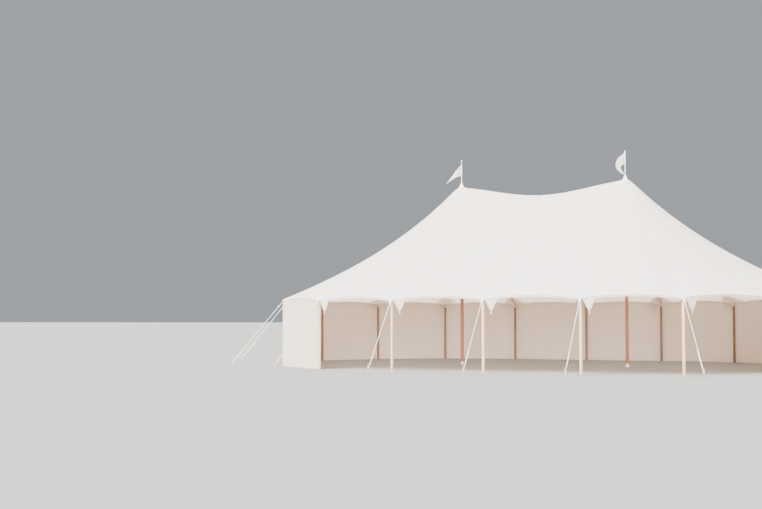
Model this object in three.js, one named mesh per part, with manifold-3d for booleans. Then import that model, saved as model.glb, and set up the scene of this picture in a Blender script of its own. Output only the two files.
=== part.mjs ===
// A white sailcloth pole tent: two king poles, half-round ends, an open front and a walled back
// Millimetres, +Z up, +X along the ridge, the open front faces -Y, the ground is z = 0

import * as THREE from 'three';
import { mergeVertices } from 'three/addons/utils/BufferGeometryUtils.js';
import Module from 'manifold-3d';

const wasm = await Module();
wasm.setup();

// Plan: king pole to king pole, and king pole to the eave at a side pole
const ridgeSpan = 6100;
const endRadius = 6750;
const straightBays = 2;
const endBays = 7;
const stations = 2 * (straightBays + endBays);

// Heights: the eave at a side pole, the point where the two cones of cloth would meet the axis
const eaveHeight = 2305;
const apexHeight = 6775;
const ridgeSag = 450;
const ridgeSlackPower = 1.9;
const ridgeRounding = 150;
const peakRounding = 150;
const ringRadius = 80;

// How the cloth falls from a peak to the eave: shares of a straight, a curved and a sharp fall
const straightFall = 0.61;
const curvedFall = 0.24;
const ridgeStraightFall = 0.71;

// Edge of the canopy: cut back and lifted between poles, hemmed, with a pointed tab beside each pole
const scallopDepth = 170;
const scallopLift = 110;
const hemDepth = 80;
const tabDepth = 300;
const tabOffset = 270;
const tabHalfWidth = 180;
const tabTipShare = 0.3;

// Cloth, poles and ropes
const clothThickness = 15;
const wallThickness = 10;
const seat = 0.3;
const kingRadius = 58;
const kingHeadRadius = 105;
const kingHeadDepth = 40;
const kingHeadFlare = 70;
const kingPinRadius = 24;
const kingPinRise = 124;
const capBoreRadius = 32;
const capRimInner = 98;
const capRimOuter = 114;
const capTopRadius = 44;
const capTopThickness = 24;
const sidePoleRadius = 45;
const sidePoleInset = 78;
const sidePoleSides = 14;
const kingSides = 28;
const capSides = 24;
const slimSides = 12;
const ropeSides = 8;
const ropeRadius = 9;
const stakeReach = 1750;
const stakeRadius = 22;
const stakeHeight = 260;
const stakeHeadRadius = 33;
const stakeHeadDepth = 25;
const stakeGripShare = 0.72;
const staffRadius = 13;
const staffLength = 825;
const knobRadius = 23;
const knobShoulder = 15;
const knobHeight = 40;

// Pennants: triangles of cloth; heading is the fly's fall below level, lean is how far it rolls over
const pennantHoist = 400;
const pennantLength = 750;
const pennantTip = 14;
const pennantRipple = 34;
const pennantThickness = 8;
const pennantAzimuth = 203;
const pennantSteps = 14;
const pennants = {
  left: {
    below: 155,
    headingStart: 30,
    headingEnd: 46,
    bendStart: 0,
    bendEnd: 0.5,
    lean: 0,
    leanEnd: 1,
    taper: 1.3,
  },
  right: {
    below: 30,
    headingStart: 34,
    headingEnd: 134,
    bendStart: 0.13,
    bendEnd: 0.8,
    lean: 215,
    leanEnd: 1.5,
    taper: 1,
  },
};

// The walled bays, counted round the tent from the front pole opposite the left king pole
const wallStart = 4;
const wallEnd = 17;

// Where the cloth's facets lie: columns across a bay, rows down a slope, columns round a quarter ring
const columnSteps = [0, 0.03, 0.071, 0.106, 0.148, 0.32, 0.5, 0.68, 0.85];
const rowSteps = [0, 0.03, 0.08, 0.15, 0.24, 0.35, 0.48, 0.62, 0.76, 0.89, 1];
const ringColumns = 2;

const sailcloth = new THREE.MeshStandardMaterial({ color: 0xefeeec, roughness: 0.85, metalness: 0 });
const wallCloth = new THREE.MeshStandardMaterial({ color: 0xcfc0b5, roughness: 0.9, metalness: 0 });
const paleTimber = new THREE.MeshStandardMaterial({ color: 0xd9bb9c, roughness: 0.7, metalness: 0 });
const kingTimber = new THREE.MeshStandardMaterial({ color: 0xbe8c73, roughness: 0.7, metalness: 0 });
const whiteRope = new THREE.MeshStandardMaterial({ color: 0xe9e5dc, roughness: 0.95, metalness: 0 });
const whiteCap = new THREE.MeshStandardMaterial({ color: 0xf2f1ee, roughness: 0.5, metalness: 0 });

const group = new THREE.Group();

function addPiece(name, geometry, material) {
  const mesh = new THREE.Mesh(geometry, material);
  mesh.name = name;
  group.add(mesh);
  return mesh;
}

// How far along its bay a station lies, as a hump that is 0 at both poles and 1 half-way
function bayHump(station) {
  const q = station - Math.floor(station);
  return 4 * q * (1 - q);
}

function edgeRadius(station) {
  return endRadius - scallopDepth * bayHump(station);
}

function edgeHeight(station) {
  return eaveHeight + scallopLift * bayHump(station);
}

// A point of the plan: the station along the perimeter and the distance out from the spine
function planPoint(station, radius) {
  const s = ((station % stations) + stations) % stations;
  const half = ridgeSpan / 2;
  const bay = ridgeSpan / straightBays;
  const backStart = straightBays + endBays;
  const leftStart = backStart + straightBays;
  if (s <= straightBays) {
    return new THREE.Vector2(-half + bay * s, -radius);
  }
  if (s < backStart) {
    const angle = -Math.PI / 2 + (Math.PI * (s - straightBays)) / endBays;
    return new THREE.Vector2(half + radius * Math.cos(angle), radius * Math.sin(angle));
  }
  if (s <= leftStart) {
    return new THREE.Vector2(half - bay * (s - backStart), radius);
  }
  const angle = Math.PI / 2 + (Math.PI * (s - leftStart)) / endBays;
  return new THREE.Vector2(-half + radius * Math.cos(angle), radius * Math.sin(angle));
}

// The station whose radial line passes through a point of the plan
function stationAt(x, y) {
  const half = ridgeSpan / 2;
  const backStart = straightBays + endBays;
  if (Math.abs(x) <= half) {
    const along = ((x + half) / ridgeSpan) * straightBays;
    return y <= 0 ? along : backStart + straightBays - along;
  }
  const angle = Math.atan2(Math.abs(x) - half, -y);
  const bays = (angle / Math.PI) * endBays;
  return x > 0 ? straightBays + bays : stations - bays;
}

// Concave profile of tensioned cloth, 1 at the king pole and 0 at the eave
function coneProfile(t) {
  const sharpFall = 1 - straightFall - curvedFall;
  return straightFall * (1 - t) + curvedFall * (1 - t) ** 2 + sharpFall * (1 - t) ** 4;
}

function ridgeProfile(t) {
  return ridgeStraightFall * (1 - t) + (1 - ridgeStraightFall) * (1 - t) ** 2;
}

function canopyHeight(x, y) {
  const half = ridgeSpan / 2;
  const station = stationAt(x, y);
  const beyond = Math.max(Math.abs(x) - half, 0);
  const inward = Math.max(half - Math.abs(x), 0);
  const rounding = ridgeRounding * Math.tanh(inward / ridgeRounding);
  const reach = Math.hypot(edgeRadius(station), peakRounding);
  const t = Math.hypot(beyond, rounding, y, peakRounding) / reach;
  const eave = edgeHeight(station);
  const slack = beyond > 0 ? 0 : (1 - (x / half) ** 2) ** ridgeSlackPower;
  const profile = coneProfile(t) + (ridgeProfile(t) - coneProfile(t)) * slack;
  return eave + (apexHeight - ridgeSag * slack - eave) * profile;
}

function canopySlope(x, y) {
  const step = 2;
  const dx = (canopyHeight(x + step, y) - canopyHeight(x - step, y)) / (2 * step);
  const dy = (canopyHeight(x, y + step) - canopyHeight(x, y - step)) / (2 * step);
  return Math.hypot(dx, dy);
}

function undersideHeight(x, y) {
  return canopyHeight(x, y) - clothThickness * Math.hypot(1, canopySlope(x, y));
}

// How far the hem drops into a blunt tab beside each pole
function tabDrop(station) {
  const bay = ridgeSpan / straightBays;
  const q = station - Math.floor(station);
  const away = Math.abs(q * bay - tabOffset) / tabHalfWidth;
  return tabDepth * THREE.MathUtils.clamp((1 - away) / (1 - tabTipShare), 0, 1);
}

// The stations of all columns of cloth from one pole to another
function columnStations(from, to) {
  const list = [];
  for (let bay = from; bay < to; bay += 1) {
    for (const q of columnSteps) {
      list.push(bay + q);
    }
  }
  list.push(to);
  return list;
}

// Where a column of cloth starts: on the ring round a king pole or on the ridge between them
function spinePoint(station, index, count) {
  const half = ridgeSpan / 2;
  if (count === 0) {
    return planPoint(station, ringRadius);
  }
  const side = station <= straightBays ? -1 : 1;
  const fromLeft = side < 0 ? index : count - index;
  const nearest = Math.min(fromLeft, count - fromLeft);
  const leftward = fromLeft <= count / 2 ? -1 : 1;
  if (nearest < ringColumns) {
    const angle = ((nearest / ringColumns) * Math.PI) / 2;
    const x = leftward * (half - ringRadius * Math.sin(angle));
    return new THREE.Vector2(x, side * ringRadius * Math.cos(angle));
  }
  const reach = half - ringRadius;
  const share = (fromLeft - ringColumns) / (count - 2 * ringColumns);
  return new THREE.Vector2(-reach + 2 * reach * share, 0);
}

// One column of cloth as a closed loop: over the top, round the hem, back along the underside
function clothLoop(station, spine) {
  const edge = planPoint(station, edgeRadius(station));
  const inner = planPoint(station, edgeRadius(station) - clothThickness);
  const hem = edgeHeight(station) - hemDepth - tabDrop(station);
  const loop = [];
  for (const t of rowSteps) {
    const p = spine.clone().lerp(edge, t);
    loop.push(new THREE.Vector3(p.x, p.y, canopyHeight(p.x, p.y)));
  }
  loop.push(new THREE.Vector3(edge.x, edge.y, hem));
  loop.push(new THREE.Vector3(inner.x, inner.y, hem));
  for (const t of [...rowSteps].reverse()) {
    const p = t === 1 ? inner : spine.clone().lerp(edge, t);
    loop.push(new THREE.Vector3(p.x, p.y, undersideHeight(p.x, p.y)));
  }
  return loop;
}

function pushQuad(triangles, a, b, c, d) {
  triangles.push(a, b, c, a, c, d);
}

function geometryFrom(triangles) {
  const geometry = new THREE.BufferGeometry();
  const positions = triangles.flatMap((p) => [p.x, p.y, p.z]);
  geometry.setAttribute('position', new THREE.Float32BufferAttribute(positions, 3));
  const merged = mergeVertices(geometry, 0.001);
  merged.computeVertexNormals();
  return merged;
}

// Joins a row of closed loops into a tube of quads, leaving out the edges that another row closes
function loftLoops(triangles, loops, skipsEdge) {
  const size = loops[0].length;
  for (let i = 0; i + 1 < loops.length; i += 1) {
    for (let k = 0; k < size; k += 1) {
      if (skipsEdge(i, k)) {
        continue;
      }
      const next = (k + 1) % size;
      pushQuad(triangles, loops[i][k], loops[i][next], loops[i + 1][next], loops[i + 1][k]);
    }
  }
}

// Closes the end of a row of loops with quads from the top of the cloth to its underside
function capLoop(triangles, loop, flip) {
  const last = loop.length - 1;
  for (let k = 0; k < last - k - 1; k += 1) {
    const corners = [loop[k], loop[last - k], loop[last - k - 1], loop[k + 1]];
    if (flip) {
      corners.reverse();
    }
    pushQuad(triangles, ...corners);
  }
}

function endCanopy(from, to) {
  const loops = columnStations(from, to).map((s) => clothLoop(s, spinePoint(s, 0, 0)));
  const triangles = [];
  loftLoops(triangles, loops, () => false);
  capLoop(triangles, loops[0], false);
  capLoop(triangles, loops[loops.length - 1], true);
  return geometryFrom(triangles);
}

// The cloth between the king poles, two slopes that share the ridge
function middleCanopy() {
  const triangles = [];
  const lacing = (2 * seat) / (ridgeSpan / straightBays);
  for (const start of [0, straightBays + endBays]) {
    const list = columnStations(start, start + straightBays);
    const count = list.length - 1;
    const loops = list.map((s, index) => {
      const shifted = index === 0 ? s + lacing : index === count ? s - lacing : s;
      return clothLoop(shifted, spinePoint(s, index, count));
    });
    const ridgeEdge = loops[0].length - 1;
    const onRidge = (i) => i >= ringColumns && i + 1 <= count - ringColumns;
    loftLoops(triangles, loops, (i, k) => k === ridgeEdge && onRidge(i));
    capLoop(triangles, loops[0], false);
    capLoop(triangles, loops[count], true);
  }
  return geometryFrom(triangles);
}

// A wall hung inside the hem, from its top edge down to the ground
function wallSection(from, to) {
  const outer = clothThickness + seat;
  const inner = outer + wallThickness;
  const loops = columnStations(from, to).map((s) => {
    const a = planPoint(s, edgeRadius(s) - outer);
    const b = planPoint(s, edgeRadius(s) - inner);
    const top = edgeHeight(s) - hemDepth / 2;
    return [
      new THREE.Vector3(b.x, b.y, top),
      new THREE.Vector3(a.x, a.y, top),
      new THREE.Vector3(a.x, a.y, 0),
      new THREE.Vector3(b.x, b.y, 0),
    ];
  });
  const triangles = [];
  loftLoops(triangles, loops, () => false);
  const first = loops[0];
  const last = loops[loops.length - 1];
  pushQuad(triangles, first[3], first[2], first[1], first[0]);
  pushQuad(triangles, last[0], last[1], last[2], last[3]);
  return geometryFrom(triangles);
}

function lathe(profile, sides) {
  const points = profile.map(([r, z]) => new THREE.Vector2(r, z));
  const geometry = new THREE.LatheGeometry(points, sides);
  geometry.rotateX(Math.PI / 2);
  return geometry;
}

function toSolid(geometry) {
  const bare = geometry.clone();
  bare.deleteAttribute('normal');
  bare.deleteAttribute('uv');
  const merged = mergeVertices(bare, 0.001);
  const vertProperties = new Float32Array(merged.attributes.position.array);
  const triVerts = new Uint32Array(merged.index.array);
  return new wasm.Manifold(new wasm.Mesh({ numProp: 3, vertProperties, triVerts }));
}

function fromSolid(solid) {
  const mesh = solid.getMesh();
  const geometry = new THREE.BufferGeometry();
  geometry.setAttribute('position', new THREE.Float32BufferAttribute(mesh.vertProperties, 3));
  geometry.setIndex([...mesh.triVerts]);
  geometry.computeVertexNormals();
  return geometry;
}

const canopies = [
  addPiece('canopy_middle', middleCanopy(), sailcloth),
  addPiece('canopy_right_end', endCanopy(straightBays, straightBays + endBays), sailcloth),
  addPiece('canopy_left_end', endCanopy(2 * straightBays + endBays, stations), sailcloth),
];

addPiece('wall_right_end', wallSection(wallStart, straightBays + endBays), wallCloth);
addPiece('wall_back', wallSection(straightBays + endBays, 2 * straightBays + endBays), wallCloth);
addPiece('wall_left_end', wallSection(2 * straightBays + endBays, wallEnd), wallCloth);

// The lowest cloth over a round post top, and the highest cloth under a round rim
const seatSamples = 56;
const seatRings = [1, 0.75, 0.5];
const sightLine = new THREE.Raycaster();
const sampleMaterial = new THREE.MeshBasicMaterial({ side: THREE.DoubleSide });
const sampleMeshes = canopies.map((mesh) => new THREE.Mesh(mesh.geometry, sampleMaterial));

function clothHeights(x, y, radius, startZ, direction) {
  const heights = [];
  for (let k = 0; k < seatSamples; k += 1) {
    const angle = (2 * Math.PI * k) / seatSamples;
    const from = new THREE.Vector3(x + radius * Math.cos(angle), y + radius * Math.sin(angle), startZ);
    sightLine.set(from, new THREE.Vector3(0, 0, direction));
    const hits = sightLine.intersectObjects(sampleMeshes);
    if (hits.length > 0) {
      heights.push(hits[0].point.z);
    }
  }
  return heights;
}

function clothAbove(x, y, radius) {
  const rings = seatRings.map((share) => radius * share + seat);
  return Math.min(...rings.flatMap((r) => clothHeights(x, y, r, eaveHeight / 2, 1)));
}

function clothBelow(x, y, radius) {
  return Math.max(...clothHeights(x, y, radius, apexHeight * 2, -1));
}

function addSidePole(station) {
  const centre = planPoint(station, endRadius - sidePoleInset);
  const top = clothAbove(centre.x, centre.y, sidePoleRadius) - seat;
  const number = String(station + 1).padStart(2, '0');
  const profile = [[0, 0], [sidePoleRadius, 0], [sidePoleRadius, top], [0, top]];
  const geometry = lathe(profile, sidePoleSides);
  geometry.translate(centre.x, centre.y, 0);
  addPiece(`side_pole_${number}`, geometry, paleTimber);
}

// A guy rope runs from the corner of the hem down to its stake
function addGuyRope(station) {
  const outward = planPoint(station, endRadius + stakeReach).sub(planPoint(station, endRadius));
  outward.normalize();
  const stakeGrip = stakeHeight * stakeGripShare;
  const startZ = eaveHeight - hemDepth / 2;
  const slope = Math.atan2(startZ - stakeGrip, stakeReach);
  const start = endRadius + seat + ropeRadius * Math.sin(slope);
  const a = planPoint(station, start);
  const b = planPoint(station, endRadius + stakeReach);
  const top = new THREE.Vector3(a.x, a.y, startZ);
  const grip = new THREE.Vector3(b.x, b.y, stakeGrip);
  const shape = new THREE.Shape().absarc(0, 0, ropeRadius, 0, 2 * Math.PI);
  const path = new THREE.LineCurve3(top, grip);
  const run = { steps: 1, curveSegments: ropeSides, extrudePath: path };
  const rope = new THREE.ExtrudeGeometry(shape, run);
  const profile = [
    [0, 0],
    [stakeRadius, 0],
    [stakeRadius, stakeHeight],
    [stakeHeadRadius, stakeHeight],
    [stakeHeadRadius, stakeHeight + stakeHeadDepth],
    [0, stakeHeight + stakeHeadDepth],
  ];
  const stake = lathe(profile, slimSides);
  stake.translate(b.x, b.y, 0);
  const joined = toSolid(rope).add(toSolid(stake));
  const number = String(station + 1).padStart(2, '0');
  addPiece(`guy_rope_${number}`, fromSolid(joined), whiteRope);
}

for (let station = 0; station < stations; station += 1) {
  addSidePole(station);
  addGuyRope(station);
}

// Which way a pennant's midline runs at a share of its length, in radians below level
function pennantHeading(shape, share) {
  const bent = THREE.MathUtils.smoothstep(share, shape.bendStart, shape.bendEnd);
  return THREE.MathUtils.degToRad(THREE.MathUtils.lerp(shape.headingStart, shape.headingEnd, bent));
}

// A pennant hangs from its staff, as a thin strip whose midline bends from one heading to another
function pennantGeometry(hoistTop, shape) {
  const azimuth = THREE.MathUtils.degToRad(pennantAzimuth);
  const outward = new THREE.Vector3(Math.cos(azimuth), Math.sin(azimuth), 0);
  const across = new THREE.Vector3(-outward.y, outward.x, 0);
  const up = new THREE.Vector3(0, 0, 1);
  const step = pennantLength / pennantSteps;
  const middle = outward.clone().multiplyScalar(staffRadius + seat);
  middle.z = hoistTop - pennantHoist / 2;
  const loops = [];
  for (let i = 0; i <= pennantSteps; i += 1) {
    const a = i / pennantSteps;
    if (i > 0) {
      const heading = pennantHeading(shape, (i - 0.5) / pennantSteps);
      middle.addScaledVector(outward, step * Math.cos(heading));
      middle.addScaledVector(up, -step * Math.sin(heading));
    }
    const lean = THREE.MathUtils.degToRad(shape.lean) * THREE.MathUtils.smoothstep(a, 0, shape.leanEnd);
    const halfWidth = (pennantHoist * (1 - a) ** shape.taper + pennantTip * a) / 2;
    const side = outward.clone().multiplyScalar(Math.sin(lean)).addScaledVector(up, Math.cos(lean));
    const rippled = middle.clone().addScaledVector(across, pennantRipple * Math.sin(2 * Math.PI * a));
    const corner = (w, t) => rippled.clone().addScaledVector(side, w).addScaledVector(across, t);
    const t = pennantThickness / 2;
    loops.push([
      corner(halfWidth, -t),
      corner(-halfWidth, -t),
      corner(-halfWidth, t),
      corner(halfWidth, t),
    ]);
  }
  const triangles = [];
  loftLoops(triangles, loops, () => false);
  const first = loops[0];
  const last = loops[pennantSteps];
  pushQuad(triangles, first[3], first[2], first[1], first[0]);
  pushQuad(triangles, last[0], last[1], last[2], last[3]);
  return geometryFrom(triangles);
}

// King pole, cap, flagstaff and pennant stand on one axis
function addKing(side, x) {
  const headTop = clothAbove(x, 0, kingHeadRadius) - seat;
  const shoulder = clothBelow(x, 0, ringRadius + 1);
  const pinTop = shoulder + kingPinRise;
  const pole = lathe([
    [0, 0],
    [kingRadius, 0],
    [kingRadius, headTop - kingHeadDepth - kingHeadFlare],
    [kingHeadRadius, headTop - kingHeadDepth],
    [kingHeadRadius, headTop],
    [kingPinRadius, headTop],
    [kingPinRadius, pinTop],
    [0, pinTop],
  ], kingSides);
  pole.translate(x, 0, 0);
  addPiece(`king_pole_${side}`, pole, kingTimber);

  const rim = clothBelow(x, 0, capRimInner) + seat;
  const capTop = pinTop + capTopThickness;
  const cap = lathe([
    [0, pinTop + seat],
    [capBoreRadius, pinTop + seat],
    [capRimInner, rim],
    [capRimOuter, rim],
    [capTopRadius, capTop],
    [0, capTop],
  ], capSides);
  cap.translate(x, 0, 0);
  addPiece(`peak_cap_${side}`, cap, whiteCap);

  const staffFoot = capTop + seat;
  const staffTop = staffFoot + staffLength;
  const staff = lathe([
    [0, staffFoot],
    [staffRadius, staffFoot],
    [staffRadius, staffTop],
    [knobRadius, staffTop + knobShoulder],
    [0, staffTop + knobHeight],
  ], slimSides);
  staff.translate(x, 0, 0);
  addPiece(`flagstaff_${side}`, staff, paleTimber);

  const pennant = pennantGeometry(staffTop - pennants[side].below, pennants[side]);
  pennant.translate(x, 0, 0);
  addPiece(`pennant_${side}`, pennant, sailcloth);
}

addKing('left', -ridgeSpan / 2);
addKing('right', ridgeSpan / 2);

export default group;
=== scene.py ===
import math
import random

import bmesh
import bpy
from mathutils import Matrix, Vector
from mathutils.bvhtree import BVHTree


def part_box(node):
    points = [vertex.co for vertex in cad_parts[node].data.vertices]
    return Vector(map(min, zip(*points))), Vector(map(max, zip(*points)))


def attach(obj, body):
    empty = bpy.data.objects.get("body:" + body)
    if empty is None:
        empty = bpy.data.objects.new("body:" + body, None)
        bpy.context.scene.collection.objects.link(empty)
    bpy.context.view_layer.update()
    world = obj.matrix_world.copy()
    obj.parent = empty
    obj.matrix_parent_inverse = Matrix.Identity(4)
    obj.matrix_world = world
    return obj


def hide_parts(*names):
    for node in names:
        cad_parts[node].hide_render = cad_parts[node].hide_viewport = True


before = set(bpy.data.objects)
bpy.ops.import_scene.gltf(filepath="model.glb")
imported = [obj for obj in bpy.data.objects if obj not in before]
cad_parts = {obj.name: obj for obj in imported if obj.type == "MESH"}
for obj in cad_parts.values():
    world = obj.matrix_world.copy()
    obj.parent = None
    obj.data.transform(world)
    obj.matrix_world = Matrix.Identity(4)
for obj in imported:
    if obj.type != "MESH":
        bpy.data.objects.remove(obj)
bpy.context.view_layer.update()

bpy.ops.object.select_all(action="DESELECT")
print("frame loaded")

# The tent's own plan and heights, in metres; +X runs along the ridge and the open front faces -Y
tent = {
    "ridgeSpan": 6.1, "endRadius": 6.75, "straightBays": 2, "endBays": 7,
    "eaveHeight": 2.305, "apexHeight": 6.775, "ridgeSag": 0.45, "ridgeSlackPower": 1.9,
    "ridgeRounding": 0.15, "peakRounding": 0.15, "ringRadius": 0.08,
    "straightFall": 0.61, "curvedFall": 0.24, "ridgeStraightFall": 0.71,
    "scallopDepth": 0.17, "scallopLift": 0.11, "hemDepth": 0.08, "solidCloth": 0.015,
    "tabDepth": 0.3, "tabOffset": 0.27, "tabHalfWidth": 0.18, "tabTipShare": 0.3,
    "wallStart": 4, "wallEnd": 17,
}
half = tent["ridgeSpan"] / 2
bay = tent["ridgeSpan"] / tent["straightBays"]
backStart = tent["straightBays"] + tent["endBays"]
leftStart = backStart + tent["straightBays"]
stationCount = 2 * backStart
allStations = range(stationCount)


def bayHump(station):
    q = station - math.floor(station)
    return 4 * q * (1 - q)


def edgeRadius(station):
    return tent["endRadius"] - tent["scallopDepth"] * bayHump(station)


def edgeHeight(station):
    return tent["eaveHeight"] + tent["scallopLift"] * bayHump(station)


# A point of the plan: the station along the perimeter and the distance out from the spine
def planPoint(station, radius):
    s = station % stationCount
    if s <= tent["straightBays"]:
        return Vector((-half + bay * s, -radius))
    if s < backStart:
        angle = -math.pi / 2 + math.pi * (s - tent["straightBays"]) / tent["endBays"]
        return Vector((half + radius * math.cos(angle), radius * math.sin(angle)))
    if s <= leftStart:
        return Vector((half - bay * (s - backStart), radius))
    angle = math.pi / 2 + math.pi * (s - leftStart) / tent["endBays"]
    return Vector((-half + radius * math.cos(angle), radius * math.sin(angle)))


def stationAt(x, y):
    if abs(x) <= half:
        along = (x + half) / bay
        return along if y <= 0 else leftStart - along
    bays = math.atan2(abs(x) - half, -y) / math.pi * tent["endBays"]
    return tent["straightBays"] + bays if x > 0 else stationCount - bays


def canopyHeight(x, y):
    station = stationAt(x, y)
    beyond = max(abs(x) - half, 0)
    inward = max(half - abs(x), 0)
    rounding = tent["ridgeRounding"] * math.tanh(inward / tent["ridgeRounding"])
    reach = math.hypot(edgeRadius(station), tent["peakRounding"])
    rise = 1 - math.hypot(beyond, rounding, y, tent["peakRounding"]) / reach
    eave = edgeHeight(station)
    slack = 0 if beyond > 0 else (1 - (x / half) ** 2) ** tent["ridgeSlackPower"]
    sharpFall = 1 - tent["straightFall"] - tent["curvedFall"]
    cone = tent["straightFall"] * rise + tent["curvedFall"] * rise ** 2 + sharpFall * rise ** 4
    ridge = tent["ridgeStraightFall"] * rise + (1 - tent["ridgeStraightFall"]) * rise ** 2
    profile = cone + (ridge - cone) * slack
    return eave + (tent["apexHeight"] - tent["ridgeSag"] * slack - eave) * profile


def undersideHeight(x, y):
    step = 0.002
    dx = (canopyHeight(x + step, y) - canopyHeight(x - step, y)) / (2 * step)
    dy = (canopyHeight(x, y + step) - canopyHeight(x, y - step)) / (2 * step)
    return canopyHeight(x, y) - tent["solidCloth"] * math.hypot(1, dx, dy)


def tabDrop(station):
    q = station - math.floor(station)
    away = abs(q * bay - tent["tabOffset"]) / tent["tabHalfWidth"]
    return tent["tabDepth"] * min(max((1 - away) / (1 - tent["tabTipShare"]), 0), 1)


def ease(low, high, value):
    t = min(max((value - low) / (high - low), 0), 1)
    return t * t * (3 - 2 * t)


# Even steps from 0 to 1
def shares(count):
    return [i / count for i in range(count + 1)]


# Camera, at the height and from the side that the picture was taken from
cameraSet = {
    "lensMm": 55.28, "sensorMm": 36, "farthest": 2000,
    "height": 1.618, "yaw": math.radians(23.49), "pitch": math.radians(3.23),
    "tentRight": 5.806, "tentAway": 42.22,
}


def addCamera(c):
    rightWay = Vector((math.cos(c["yaw"]), math.sin(c["yaw"]), 0))
    forward = Vector((-math.sin(c["yaw"]), math.cos(c["yaw"]), 0))
    place = -rightWay * c["tentRight"] - forward * c["tentAway"] + Vector((0, 0, c["height"]))
    bpy.ops.object.camera_add(location=place, rotation=(math.pi / 2 + c["pitch"], 0, c["yaw"]))
    camera = bpy.context.object
    camera.data.lens = c["lensMm"]
    camera.data.sensor_width = c["sensorMm"]
    camera.data.clip_end = c["farthest"]
    bpy.context.scene.camera = camera


addCamera(cameraSet)
print("camera placed")


# A socket that can be added, scaled and compared like a number
class Wire:
    def __init__(self, finish, socket):
        self.finish = finish
        self.socket = socket

    def apply(self, operation, *values):
        return self.finish.node("ShaderNodeMath", {"operation": operation}, values)

    def __add__(self, other):
        return self.apply("ADD", self, other)

    def __radd__(self, other):
        return self.apply("ADD", other, self)

    def __mul__(self, other):
        return self.apply("MULTIPLY", self, other)

    def __rmul__(self, other):
        return self.apply("MULTIPLY", other, self)

    def __sub__(self, other):
        return self.apply("SUBTRACT", self, other)

    def __rsub__(self, other):
        return self.apply("SUBTRACT", other, self)

    def absolute(self):
        return self.apply("ABSOLUTE", self)

    def fraction(self):
        return self.apply("FRACT", self)

    def smooth(self, low, high, fromValue=0, toValue=1):
        settings = {"interpolation_type": "SMOOTHSTEP"}
        return self.finish.node("ShaderNodeMapRange", settings, [self, low, high, fromValue, toValue])


class Finish:
    def __init__(self, name, roughness=0.8, metallic=0):
        self.material = bpy.data.materials.new(name)
        self.material.use_nodes = True
        self.tree = self.material.node_tree
        self.surface = self.tree.nodes["Principled BSDF"]
        self.surface.inputs["Roughness"].default_value = roughness
        self.surface.inputs["Metallic"].default_value = metallic

    def node(self, kind, settings, sockets, output=0):
        made = self.tree.nodes.new(kind)
        for key, value in settings.items():
            setattr(made, key, value)
        pairs = sockets.items() if isinstance(sockets, dict) else enumerate(sockets)
        for key, value in pairs:
            self.plug(value, made.inputs[key])
        return Wire(self, made.outputs[output])

    def plug(self, value, target):
        if isinstance(value, Wire):
            self.tree.links.new(value.socket, target)
        elif target.type == "RGBA":
            target.default_value = (*value, 1)
        else:
            target.default_value = value

    def place(self, stretch=(1, 1, 1)):
        spot = self.node("ShaderNodeTexCoord", {}, {}, "Object")
        return self.node("ShaderNodeMapping", {}, {"Vector": spot, "Scale": stretch})

    def attribute(self, name):
        return self.node("ShaderNodeAttribute", {"attribute_name": name}, {}, "Fac")

    def noise(self, spot, scale, detail=3, rough=0.5):
        sockets = {"Vector": spot, "Scale": scale, "Detail": detail, "Roughness": rough}
        return self.node("ShaderNodeTexNoise", {}, sockets, "Fac")

    def bands(self, spot, scale, direction):
        settings = {"wave_type": "BANDS", "bands_direction": direction}
        return self.node("ShaderNodeTexWave", settings, {"Vector": spot, "Scale": scale}, "Fac")

    def mix(self, amount, first, second):
        sockets = {0: amount, 6: first, 7: second}
        return self.node("ShaderNodeMix", {"data_type": "RGBA"}, sockets, 2)

    def bump(self, height, strength):
        sockets = {"Height": height, "Strength": strength, "Distance": 1}
        self.plug(self.node("ShaderNodeBump", {}, sockets, "Normal"), self.surface.inputs["Normal"])

    def colour(self, value):
        self.plug(value, self.surface.inputs["Base Color"])

    def roughness(self, value):
        self.plug(value, self.surface.inputs["Roughness"])

    def sheen(self, weight, rough):
        self.surface.inputs["Sheen Weight"].default_value = weight
        self.surface.inputs["Sheen Roughness"].default_value = rough

    # Thin cloth lets part of the light through
    def letThrough(self, tint, share):
        behind = self.node("ShaderNodeBsdfTranslucent", {}, {"Color": tint})
        front = Wire(self, self.surface.outputs[0])
        both = self.node("ShaderNodeMixShader", {}, [share, front, behind])
        self.plug(both, self.tree.nodes["Material Output"].inputs["Surface"])


def weaveOf(finish, spot, threads):
    return finish.bands(spot, threads, "X") * 0.5 + finish.bands(spot, threads, "Z") * 0.5


# How far each point of a cloth mesh is from a seam, from the hem and down its column
distances = ("fromSeam", "fromHem", "runDown")


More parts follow.
